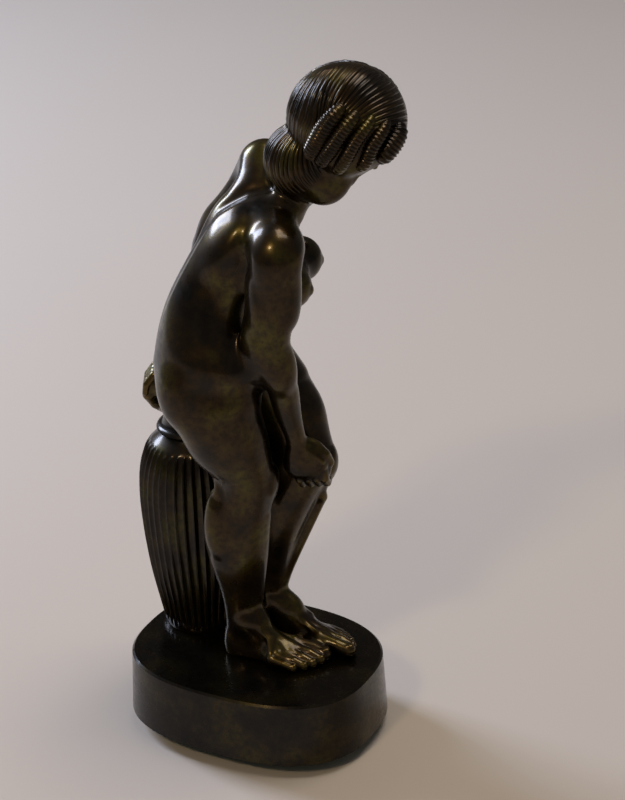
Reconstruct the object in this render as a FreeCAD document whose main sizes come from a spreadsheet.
"""Bronze statuette: a standing bather stooping beside a fluted urn, on an oval plinth.

Millimetres, +Z up. The origin is the middle of the baize underside, +X runs along the
plinth's long side and +Y across it. The figure is laid out in its own axes, turned about
the origin: "forward" is the way its hips face, "left" is its own left hand side.

A cabinet bronze like this one is cast in sections. Neighbouring sections meet on a plane
joint and are held together by a hidden dowel. The feet and the urn are held down by
threaded studs, with a washer and a nut inside the hollow plinth.
"""
import FreeCAD, Part
import math
import os

from FreeCAD import Placement, Rotation, Vector

document = FreeCAD.newDocument("statuette")
sheet = document.addObject("Spreadsheet::Sheet", "sheet")
next_row = 1
UP = Vector(0, 0, 1)


def store(alias, value):
    """Put one driving dimension in the next row of the sheet."""
    global next_row
    sheet.set(f"A{next_row}", alias)
    sheet.set(f"B{next_row}", str(value))
    sheet.setAlias(f"B{next_row}", alias)
    next_row += 1


def size(alias):
    """Read one driving dimension back from the sheet."""
    return float(getattr(sheet, alias))


def bind(item, **expressions):
    """Bind properties of an object to the sheet; a dot in a property is written as __."""
    for name, expression in expressions.items():
        item.setExpression(name.replace("__", "."), expression)


# ---------------------------------------------------------------- driving dimensions
DIMENSIONS = {
    # plinth
    "plinth_long": 100.0, "plinth_wide": 75.0, "plinth_top": 27.0, "plinth_wall": 4.0,
    "plinth_plate": 5.0, "plinth_draft": 1.3, "plinth_square": 2.6, "plinth_edge": 0.8,
    "baize_thick": 1.0, "baize_inset": 1.5,
    # urn, on its own axis
    "urn_forward": -22.2, "urn_left": 26.7, "urn_foot_radius": 15.5, "urn_belly_radius": 22.6,
    "urn_belly_height": 87.0, "urn_neck_radius": 12.6, "urn_neck_height": 113.0,
    "urn_bead": 1.6, "urn_mouth_height": 124.0, "urn_mouth_radius": 11.4, "urn_wall": 3.0,
    "urn_floor": 5.0, "urn_boss_radius": 5.0, "urn_boss_height": 9.0,
    # towel bunched over the mouth of the urn
    "towel_radius": 13.4, "towel_height": 137.0, "spigot_depth": 7.0,
    # the way the hips face, and the planes where the castings meet
    "figure_turn": 27.0, "hip_joint_height": 143.0,
    "neck_joint_lean": 37.0,
    # dowels, studs, washers and nuts
    "dowel_radius": 1.6, "dowel_length": 12.0, "neck_dowel_length": 10.0,
    "stud_radius": 2.0, "stud_below": 11.0, "stud_into_foot": 12.0, "stud_into_urn": 10.0,
    "stud_hole_radius": 2.2, "washer_radius": 4.5, "washer_thick": 1.0, "nut_across": 7.0,
    "nut_thick": 3.2,
    "right_stud_forward": -5.2, "right_stud_left": -1.9, "left_stud_forward": 7.4,
    "left_stud_left": 8.8,
    # cores of the hollow castings
    "core_wall": 4.0, "skull_core_radius": 10.0,
}

# Ellipses that the castings are lofted through, from one end to the other: forward, left,
# height of the centre, half depth, half width, then lean forward and tilt to the right.
STATIONS = {
    "trunk": [
        (-10.2, 0, 147, 21.0, 21.5, 0, 0), (-9.6, 0, 158, 23.4, 24.5, 8, 0),
        (-9.6, 0, 170, 20.0, 21.0, 20, 2), (-8.0, 0, 183, 15.8, 16.0, 27, 6),
        (-1.8, 0, 195, 15.2, 15.3, 31, 12), (5.6, 0, 206, 14.8, 15.3, 37, 19),
        (14.2, 0.3, 214.5, 10.8, 12.0, 38, 14), (20.5, 0, 219, 7.6, 8.2, 37, 0),
    ],
    "girdle": [
        (15.0, -15.5, 207, 10.4, 10.0, 0, -90), (12.0, -8.0, 209.5, 10.6, 9.8, 0, -90),
        (9.5, 0.0, 213.5, 10.5, 9.5, 0, -90), (10.2, 8.0, 219, 10.6, 9.8, 0, -90),
        (11.6, 15.5, 226, 10.4, 10.0, 0, -90),
    ],
    "right_hip": [(-10.8, -12.7, 143, 17.6, 12.6, 0, 0), (-9.6, -11.0, 160, 15.0, 11.0, 0, 0)],
    "left_hip": [(7.0, 12.3, 143, 17.3, 11.9, 0, 0), (0.5, 11.0, 158, 15.5, 10.5, 0, 0)],
    "right_limb": [
        (-10.8, -12.7, 143, 17.6, 12.6, 0, 0), (-9.4, -12.6, 134, 17.0, 12.4, 0, 0),
        (-6.6, -12.0, 125, 15.8, 11.6, 0, 0), (-3.4, -10.8, 116, 13.6, 10.2, 0, 0),
        (-0.2, -9.6, 107, 11.0, 9.2, 0, 0), (-2.2, -8.8, 98, 11.4, 8.8, 0, 0),
        (-4.6, -8.0, 89, 12.2, 8.7, 0, 0), (-5.4, -7.0, 79, 12.0, 8.4, 0, 0),
        (-5.2, -5.6, 68, 10.4, 7.2, 0, 0), (-4.8, -3.8, 57, 8.4, 5.9, 0, 0),
        (-4.8, -2.4, 46, 7.3, 5.3, 0, 0), (-5.0, -1.8, 36, 6.8, 5.2, 0, 0),
    ],
    "left_limb": [
        (7.0, 12.3, 143, 17.3, 11.9, 0, 0), (11.6, 11.0, 134, 16.6, 11.2, 0, 0),
        (16.0, 9.4, 125, 15.0, 10.4, 0, 0), (19.8, 7.4, 116, 12.8, 9.6, 0, 0),
        (22.4, 5.6, 107, 10.8, 8.9, 0, 0), (18.0, 5.4, 98, 11.2, 8.6, 0, 0),
        (12.8, 6.0, 89, 11.9, 8.6, 0, 0), (8.6, 6.8, 79, 11.6, 8.3, 0, 0),
        (5.9, 7.4, 68, 10.2, 7.1, 0, 0), (4.8, 7.9, 57, 8.3, 5.9, 0, 0),
        (5.8, 8.4, 46, 7.3, 5.3, 0, 0), (7.0, 8.8, 36, 6.8, 5.2, 0, 0),
    ],
    "right_arm": [
        (15.0, -15.5, 207, 10.4, 10.0, 0, -90), (15.2, -20.2, 206.4, 10.2, 9.0, 0, -70),
        (15.0, -23.0, 203.0, 9.6, 7.4, 0, -38), (14.5, -22.0, 194, 8.8, 6.8, 0, -6),
        (14.1, -21.4, 185, 7.5, 6.5, 0, 0), (13.0, -21.2, 176, 6.6, 5.9, 0, 0),
        (12.2, -20.0, 167, 6.5, 5.9, 0, 0), (13.6, -18.4, 158, 6.2, 5.7, 0, 0),
        (15.4, -16.0, 149, 5.8, 5.3, 0, 0), (16.2, -13.0, 140, 5.5, 4.9, 0, 0),
        (17.8, -10.8, 131, 4.6, 4.1, 0, 0), (19.4, -9.4, 122, 4.2, 3.7, 0, 0),
        (21.0, -8.6, 114, 4.4, 3.4, 0, 0),
    ],
    "left_arm": [
        (11.6, 15.5, 226, 10.4, 10.0, 0, 90), (10.6, 20.6, 225.0, 10.2, 9.2, 0, 68),
        (8.6, 23.4, 220.6, 10.0, 8.0, 0, 38), (4.0, 26.8, 213, 9.2, 7.0, 0, 8),
        (-3.0, 31.5, 204, 8.6, 6.6, 0, 0), (-8.6, 34.8, 195, 7.6, 6.2, 0, 0),
        (-12.0, 34.6, 186, 7.0, 6.0, 0, 0), (-15.6, 33.0, 176, 6.8, 5.8, 0, 0),
        (-19.2, 31.2, 166, 6.3, 5.3, 0, 0), (-22.6, 29.4, 156, 5.5, 4.6, 0, 0),
        (-25.4, 27.6, 147, 4.8, 4.0, 0, 0), (-26.8, 26.6, 141, 4.8, 4.0, 0, 0),
    ],
}

# Soft masses joined to the lofts: forward, left, height, then half depth, width, height,
# and how far the mass leans forward.
MASSES = {
    "bust": (13.0, 2.0, 191.0, 13.0, 13.5, 9.4, 12),
    "right_palm": (22.0, -8.0, 114.5, 8.4, 3.8, 8.2, -35),
    "right_fingers": (27.4, -6.6, 110.4, 5.2, 3.2, 4.6, 30),
    "left_palm": (-28.2, 25.4, 139.4, 8.2, 6.4, 4.0, 7),
    "skull": (42.0, 1.0, 248.0, 21.6, 17.6, 20.8, 28),
    "nape_hair": (26.0, -2.5, 233.0, 11.5, 9.5, 12.0, 0),
    "face": (46.0, 2.0, 236.0, 10.5, 11.0, 15.0, 12),
    "nape": (28.0, 0.0, 227.5, 8.4, 8.2, 15.0, 37),
    "towel_knot": (-31.6, 20.0, 135.5, 4.8, 5.2, 6.0, 0),
}

# Foot sections, square to the line from heel to toe: distance from the heel, height above
# the plinth, half width. Every section's centre lies foot_sink under the plinth's top.
FOOT_SECTIONS = [
    (0.8, 6.0, 3.8), (5.5, 13.0, 5.6), (12.0, 17.0, 5.8), (19.5, 12.5, 6.6), (27.5, 8.6, 8.0),
    (34.5, 5.8, 8.0), (40.0, 3.2, 4.8),
]
DIMENSIONS.update({
    "foot_sink": 6.0, "foot_splay": -22.5,
    "right_heel_forward": -11.8, "right_heel_left": 0.8,
    "left_heel_forward": 1.2, "left_heel_left": 11.2,
})

for alias, value in DIMENSIONS.items():
    store(alias, value)
for limb, sections in STATIONS.items():
    for number, section in enumerate(sections):
        parts = ("forward", "left", "height", "depth", "width", "lean", "tilt")
        for part, value in zip(parts, section):
            store(f"{limb}_{number}_{part}", value)
for mass, values in MASSES.items():
    for part, value in zip(("forward", "left", "height", "depth", "width", "rise", "lean"), values):
        store(f"{mass}_{part}", value)
for number, section in enumerate(FOOT_SECTIONS):
    for part, value in zip(("along", "rise", "width"), section):
        store(f"foot_{number}_{part}", value)
document.recompute()

TURN = Rotation(UP, size("figure_turn"))
FIGURE = Placement(Vector(), TURN)


# ---------------------------------------------------------------- building blocks
def section_ellipse(limb, number, wide, use):
    """One ellipse of a loft. A wide one is laid out a quarter turn round, its width first."""
    cell = f"sheet.{limb}_{number}_"
    lean = size(f"{limb}_{number}_lean")
    tilt = size(f"{limb}_{number}_tilt")
    ellipse = document.addObject("Part::Ellipse", f"{limb}_{number}{use}")
    if wide:
        turn = Rotation(Vector(1, 0, 0), lean).multiply(Rotation(Vector(0, 1, 0), -tilt))
        ellipse.Placement = Placement(Vector(), turn)
        bind(ellipse, MajorRadius=cell + "width", MinorRadius=cell + "depth",
             Placement__Base__x=cell + "left", Placement__Base__y="-" + cell + "forward",
             Placement__Base__z=cell + "height")
    else:
        turn = Rotation(Vector(0, 1, 0), lean).multiply(Rotation(Vector(1, 0, 0), tilt))
        ellipse.Placement = Placement(Vector(), turn)
        bind(ellipse, MajorRadius=cell + "depth", MinorRadius=cell + "width",
             Placement__Base__x=cell + "forward", Placement__Base__y=cell + "left",
             Placement__Base__z=cell + "height")
    return ellipse


def limb_loft(limb, wide=False, use=""):
    """A solid lofted through a limb's sections, in the figure's axes."""
    loft = document.addObject("Part::Loft", f"{limb}{use}")
    numbers = range(len(STATIONS[limb]))
    loft.Sections = [section_ellipse(limb, number, wide, use) for number in numbers]
    loft.Solid = True
    if wide:
        loft.Placement = Placement(Vector(), Rotation(UP, 90))
    return loft


def mass(name, use=""):
    """One soft mass, an ellipsoid that leans forward, in the figure's axes."""
    cell = f"sheet.{name}_"
    ellipsoid = document.addObject("Part::Ellipsoid", f"{name}{use}")
    ellipsoid.Placement = Placement(Vector(), Rotation(Vector(0, 1, 0), 1))
    bind(ellipsoid, Radius1=cell + "rise", Radius2=cell + "depth", Radius3=cell + "width",
         Placement__Base__x=cell + "forward", Placement__Base__y=cell + "left",
         Placement__Base__z=cell + "height", Placement__Rotation__Angle=cell + "lean")
    return ellipsoid


def foot(side):
    """A foot lofted from heel to toe and cut off flat where it stands."""
    sections = []
    sink = size("foot_sink")
    for number in range(len(FOOT_SECTIONS)):
        cell = f"sheet.foot_{number}_"
        ellipse = document.addObject("Part::Ellipse", f"{side}_foot_{number}")
        ellipse.Placement = Placement(Vector(0, 0, -sink), Rotation(Vector(0, 1, 0), 90))
        bind(ellipse, MajorRadius=cell + "rise + sheet.foot_sink", MinorRadius=cell + "width",
             Placement__Base__x=cell + "along")
        sections.append(ellipse)
    loft = document.addObject("Part::Loft", f"{side}_foot_loft")
    loft.Sections = sections
    loft.Solid = True
    loft.Placement = Placement(Vector(0, 0, 0), Rotation(UP, size("foot_splay")))
    bind(loft, Placement__Base__x=f"sheet.{side}_heel_forward",
         Placement__Base__y=f"sheet.{side}_heel_left", Placement__Base__z="sheet.plinth_top")
    return loft


def half_space(name, point, direction, reach=150.0):
    """A block on the far side of a joint plane, used to cut a casting off there."""
    block = document.addObject("Part::Box", name)
    block.Length = block.Width = 2 * reach
    block.Height = reach
    turn = Rotation(UP, direction)
    block.Placement = Placement(point - turn.multVec(Vector(reach, reach, 0)), turn)
    return block


def rod(name, point, direction, radius, length):
    """A round bar from a point along a direction, its sizes given as sheet expressions."""
    bar = document.addObject("Part::Cylinder", name)
    bar.Placement = Placement(point, Rotation(UP, direction))
    bind(bar, Radius=radius, Height=length)
    return bar


def joined(name, members):
    """The members joined one after another."""
    whole = members[0]
    for number, member in enumerate(members[1:]):
        fusion = document.addObject("Part::Fuse", f"{name}_{number}")
        fusion.Base = whole
        fusion.Tool = member
        whole = fusion
    return whole


def cut(name, base, tool):
    remainder = document.addObject("Part::Cut", name)
    remainder.Base = base
    remainder.Tool = tool
    return remainder


def casting(node, solids, cutters):
    """A finished casting: its masses joined, then each cutter taken off in turn."""
    body = joined(f"{node}_masses", solids)
    for number, cutter in enumerate(cutters):
        body = cut(f"{node}_cut_{number}", body, cutter)
    body.Placement = FIGURE
    return body


def named(item, node):
    item.Label = node
    return node, item


# ---------------------------------------------------------------- joints of the figure
def station_centre(limb, number):
    return Vector(*[size(f"{limb}_{number}_{part}") for part in ("forward", "left", "height")])


neck_axis = Rotation(Vector(0, 1, 0), size("neck_joint_lean")).multVec(UP)
JOINTS = {
    # joint: a point in its plane, and the direction that leaves the trunk
    "neck": (station_centre("trunk", len(STATIONS["trunk"]) - 1), neck_axis),
    "right_shoulder": (station_centre("right_arm", 0), Vector(0, -1, 0)),
    "left_shoulder": (station_centre("left_arm", 0), Vector(0, 1, 0)),
    "right_hip": (station_centre("right_limb", 0), UP * -1),
    "left_hip": (station_centre("left_limb", 0), UP * -1),
}


def dowel(name, joint):
    """The dowel across a joint, or the tool that drills its two blind holes."""
    point, direction = JOINTS[joint]
    length = "neck_dowel_length" if joint == "neck" else "dowel_length"
    start = point - direction * (size(length) / 2)
    return rod(name, start, direction, "sheet.dowel_radius", f"sheet.{length}")


# ---------------------------------------------------------------- castings of the figure
def torso():
    solids = [limb_loft("trunk", wide=True), limb_loft("girdle")]
    solids += [limb_loft(f"{side}_hip") for side in ("right", "left")]
    solids.append(mass("bust"))
    cutters = [core("torso_core")]
    cutters += [dowel(f"torso_{joint}_hole", joint) for joint in JOINTS]
    return named(casting("torso", solids, cutters), "torso_casting")


def core(name):
    """The hollow of the trunk, left by the core that the casting was poured round."""
    hollow = document.addObject("Part::Ellipsoid", name)
    hollow.Placement = Placement(Vector(-6.0, 0, 176.0), Rotation(Vector(0, 1, 0), 22))
    hollow.Radius1 = 22.0
    bind(hollow, Radius2="sheet.trunk_3_depth - sheet.core_wall",
         Radius3="sheet.trunk_3_width - sheet.core_wall")
    return hollow


def head():
    solids = [mass(name) for name in ("skull", "nape_hair", "face", "nape")]
    skull_core = document.addObject("Part::Sphere", "skull_core")
    skull_core.Placement = Placement(Vector(size("skull_forward"), size("skull_left"),
                                            size("skull_height")), Rotation())
    bind(skull_core, Radius="sheet.skull_core_radius")
    point, direction = JOINTS["neck"]
    cutters = [half_space("head_before_neck", point, direction * -1),
               dowel("head_neck_hole", "neck"), skull_core]
    return named(casting("head", solids, cutters), "head_casting")


def arm(side):
    solids = [limb_loft(f"{side}_arm"), mass(f"{side}_palm")]
    if side == "right":
        solids.append(mass("right_fingers"))
    cutters = [dowel(f"{side}_arm_hole", f"{side}_shoulder")]
    return named(casting(f"{side}_arm", solids, cutters), f"{side}_arm_casting")


def leg(side):
    solids = [limb_loft(f"{side}_limb"), foot(side)]
    floor = half_space(f"{side}_leg_floor", Vector(0, 0, size("plinth_top")), Vector(0, 0, -1))
    cutters = [floor, dowel(f"{side}_leg_hole", f"{side}_hip"), stud(f"{side}_leg_tapping", side)]
    return named(casting(f"{side}_leg", solids, cutters), f"{side}_leg_casting")


# ---------------------------------------------------------------- studs, washers and nuts
def stud_foot(place):
    """Where a stud passes through the plinth's top, in the figure's axes."""
    if place == "urn":
        return Vector(size("urn_forward"), size("urn_left"), size("plinth_top"))
    return Vector(size(f"{place}_stud_forward"), size(f"{place}_stud_left"), size("plinth_top"))


def stud(name, place):
    """A threaded stud, from inside the plinth up into a foot or into the urn's boss."""
    into = "sheet.stud_into_urn" if place == "urn" else "sheet.stud_into_foot"
    start = stud_foot(place) - UP * size("stud_below")
    return rod(name, start, UP, "sheet.stud_radius", f"sheet.stud_below + {into}")


def studs():
    for place, node in (("right", "right_foot_stud"), ("left", "left_foot_stud"),
                        ("urn", "urn_stud")):
        bar = stud(f"{place}_stud", place)
        bar.Placement = FIGURE * bar.Placement
        yield named(bar, node)


def washers():
    rings = []
    for place in ("right", "left", "urn"):
        top = stud_foot(place) - UP * (size("plinth_plate") + size("washer_thick"))
        plate = rod(f"{place}_washer_plate", top, UP, "sheet.washer_radius", "sheet.washer_thick")
        bore = rod(f"{place}_washer_bore", top, UP, "sheet.stud_radius", "sheet.washer_thick")
        rings.append(cut(f"{place}_washer", plate, bore))
    group = document.addObject("Part::Compound", "washers")
    group.Links = rings
    group.Placement = FIGURE
    return named(group, "stud_washers")


def nuts():
    hexagons = []
    for place in ("right", "left", "urn"):
        drop = size("plinth_plate") + size("washer_thick") + size("nut_thick")
        base = stud_foot(place) - UP * drop
        blank = document.addObject("Part::Prism", f"{place}_nut_blank")
        blank.Polygon = 6
        blank.Placement = Placement(base, Rotation())
        bind(blank, Circumradius="sheet.nut_across / 2 / cos(30)", Height="sheet.nut_thick")
        bore = rod(f"{place}_nut_bore", base, UP, "sheet.stud_radius", "sheet.nut_thick")
        hexagons.append(cut(f"{place}_nut", blank, bore))
    group = document.addObject("Part::Compound", "nuts")
    group.Links = hexagons
    group.Placement = FIGURE
    return named(group, "stud_nuts")


# ---------------------------------------------------------------- plinth and baize
def oval(half_long, half_wide, height, points=40):
    """The plinth's outline, a rounded oval squarer than an ellipse, as one smooth curve."""
    power = 2 / size("plinth_square")
    ring = []
    for step in range(points):
        angle = 2 * math.pi * step / points
        across, along = math.sin(angle), math.cos(angle)
        ring.append(Vector(math.copysign(abs(along) ** power, along) * half_long,
                           math.copysign(abs(across) ** power, across) * half_wide, height))
    curve = Part.BSplineCurve()
    curve.interpolate(Points=ring, PeriodicFlag=True)
    return Part.Wire(curve.toShape())


def oval_block(bottom, top, inset, draft):
    """A solid between two heights, its outline inset from the plinth's and drafted."""
    half_long = size("plinth_long") / 2 - inset
    half_wide = size("plinth_wide") / 2 - inset
    return Part.makeLoft([oval(half_long + draft, half_wide + draft, bottom),
                          oval(half_long, half_wide, top)], True, True)


def plinth():
    """A shell open beneath, with an eased top edge and three stud holes in its plate."""
    top = size("plinth_top")
    underside = size("baize_thick")
    ceiling = top - size("plinth_plate")
    ease = size("plinth_edge")
    wall = size("plinth_wall")
    shell = oval_block(underside, top - ease, 0, size("plinth_draft"))
    shell = shell.fuse(oval_block(top - ease, top, ease, ease))
    shell = shell.cut(oval_block(underside - 1, ceiling, wall, size("plinth_draft")))
    for place in ("right", "left", "urn"):
        start = TURN.multVec(stud_foot(place)) - UP * (size("plinth_plate") + 1)
        shell = shell.cut(Part.makeCylinder(size("stud_hole_radius"), size("plinth_plate") + 2, start))
    body = document.addObject("Part::Feature", "plinth")
    body.Shape = shell
    return named(body, "plinth_shell")


def baize():
    """The cloth glued under the plinth."""
    pad = document.addObject("Part::Feature", "baize")
    pad.Shape = oval_block(0, size("baize_thick"), size("baize_inset") - size("plinth_draft"), 0)
    return named(pad, "baize_pad")


# ---------------------------------------------------------------- urn and towel
def body_curve(wall, foot_level):
    """The urn's swelling side in (radius, height), drawn in by the wall for the inside."""
    belly_level = size("urn_belly_height")
    top_level = size("urn_neck_height")
    belly = size("urn_belly_radius") - wall
    curve = Part.BSplineCurve()
    curve.interpolate(Points=[
        Vector(size("urn_foot_radius") - wall, 0, foot_level),
        Vector(belly * 0.915, 0, (foot_level + belly_level) / 2), Vector(belly, 0, belly_level),
        Vector(belly * 0.87, 0, top_level - 8.5), Vector(size("urn_neck_radius") - wall, 0, top_level)])
    return curve.toShape()


def polyline(*corners):
    """Straight edges through corners given as (radius, height)."""
    points = [Vector(radius, 0, height) for radius, height in corners]
    return [Part.makeLine(first, second) for first, second in zip(points, points[1:])]


def urn():
    """A hollow urn with a bead round its neck, an open mouth and a tapped boss in its floor."""
    wall = size("urn_wall")
    base = size("plinth_top")
    floor = base + size("urn_floor")
    neck_level = size("urn_neck_height")
    neck = size("urn_neck_radius")
    mouth = size("urn_mouth_radius")
    top = size("urn_mouth_height")
    bead = size("urn_bead")
    tapping = size("stud_radius")
    tapping_top = base + size("stud_into_urn")
    boss = size("urn_boss_radius")
    boss_top = base + size("urn_boss_height") + size("urn_floor")
    bead_arc = Part.Arc(Vector(neck, 0, neck_level), Vector(neck + bead, 0, neck_level + bead),
                        Vector(neck, 0, neck_level + 2 * bead)).toShape()
    outline = polyline((tapping, base), (size("urn_foot_radius"), base))
    outline += [body_curve(0, base), bead_arc]
    outline += polyline((neck, neck_level + 2 * bead), (mouth, neck_level + 2 * bead), (mouth, top),
                        (mouth - wall, top), (mouth - wall, neck_level), (neck - wall, neck_level))
    outline.append(body_curve(wall, floor))
    outline += polyline((size("urn_foot_radius") - wall, floor), (boss, floor), (boss, boss_top),
                        (0, boss_top), (0, tapping_top), (tapping, tapping_top), (tapping, base))
    profile = Part.Face(Part.Wire(Part.__sortEdges__(outline)))
    body = document.addObject("Part::Feature", "urn")
    body.Shape = profile.revolve(Vector(), UP, 360)
    body.Placement = Placement(TURN.multVec(Vector(size("urn_forward"), size("urn_left"), 0)), TURN)
    return named(body, "urn_body")


def towel():
    """The towel heaped on the urn: a mound, a knot behind, and a spigot down in the mouth."""
    centre = Vector(size("urn_forward"), size("urn_left"), size("urn_mouth_height"))
    mound = document.addObject("Part::Ellipsoid", "towel_mound")
    mound.Placement = Placement(centre, Rotation())
    bind(mound, Radius1="sheet.towel_height - sheet.urn_mouth_height",
         Radius2="sheet.towel_radius", Radius3="sheet.towel_radius")
    under = half_space("towel_underside", centre, Vector(0, 0, -1))
    dome = cut("towel_dome", joined("towel_heap", [mound, mass("towel_knot")]), under)
    spigot = rod("towel_spigot", centre - UP * size("spigot_depth"), UP,
                 "sheet.urn_mouth_radius - sheet.urn_wall", "sheet.spigot_depth + 1")
    whole = joined("towel_whole", [dome, spigot])
    hand = [mass("left_palm", "_print"), limb_loft("left_arm", use="_print")]
    return named(casting("towel", [whole], hand), "towel_casting")


def dowels():
    for joint in JOINTS:
        bar = dowel(f"{joint}_dowel", joint)
        bar.Placement = FIGURE * bar.Placement
        yield named(bar, f"{joint}_dowel")


# ---------------------------------------------------------------- the whole statuette
NODES = [plinth(), baize(), urn(), towel(), torso(), head()]
NODES += [arm("right"), arm("left"), leg("right"), leg("left")]
NODES += [*studs(), washers(), nuts(), *dowels()]
document.recompute()

for item in document.Objects:
    trouble = {"Invalid", "Error"} & set(item.State)
    assert not trouble, f"{item.Name} did not recompute: {item.getStatusString()}"
os.makedirs("parts", exist_ok=True)
for node, item in NODES:
    shape = item.Shape
    assert not shape.isNull() and shape.isValid(), f"{node} has no valid shape"
    assert shape.Solids, f"{node} holds no solid"
    shape.exportStep(f"parts/{node}.step")
    box = shape.BoundBox
    print(f"{node:24s} {len(shape.Solids)} solid(s)  {shape.Volume / 1000:8.2f} cm3  "
          f"X {box.XMin:6.1f} {box.XMax:6.1f}  Y {box.YMin:6.1f} {box.YMax:6.1f}  "
          f"Z {box.ZMin:6.1f} {box.ZMax:6.1f}")
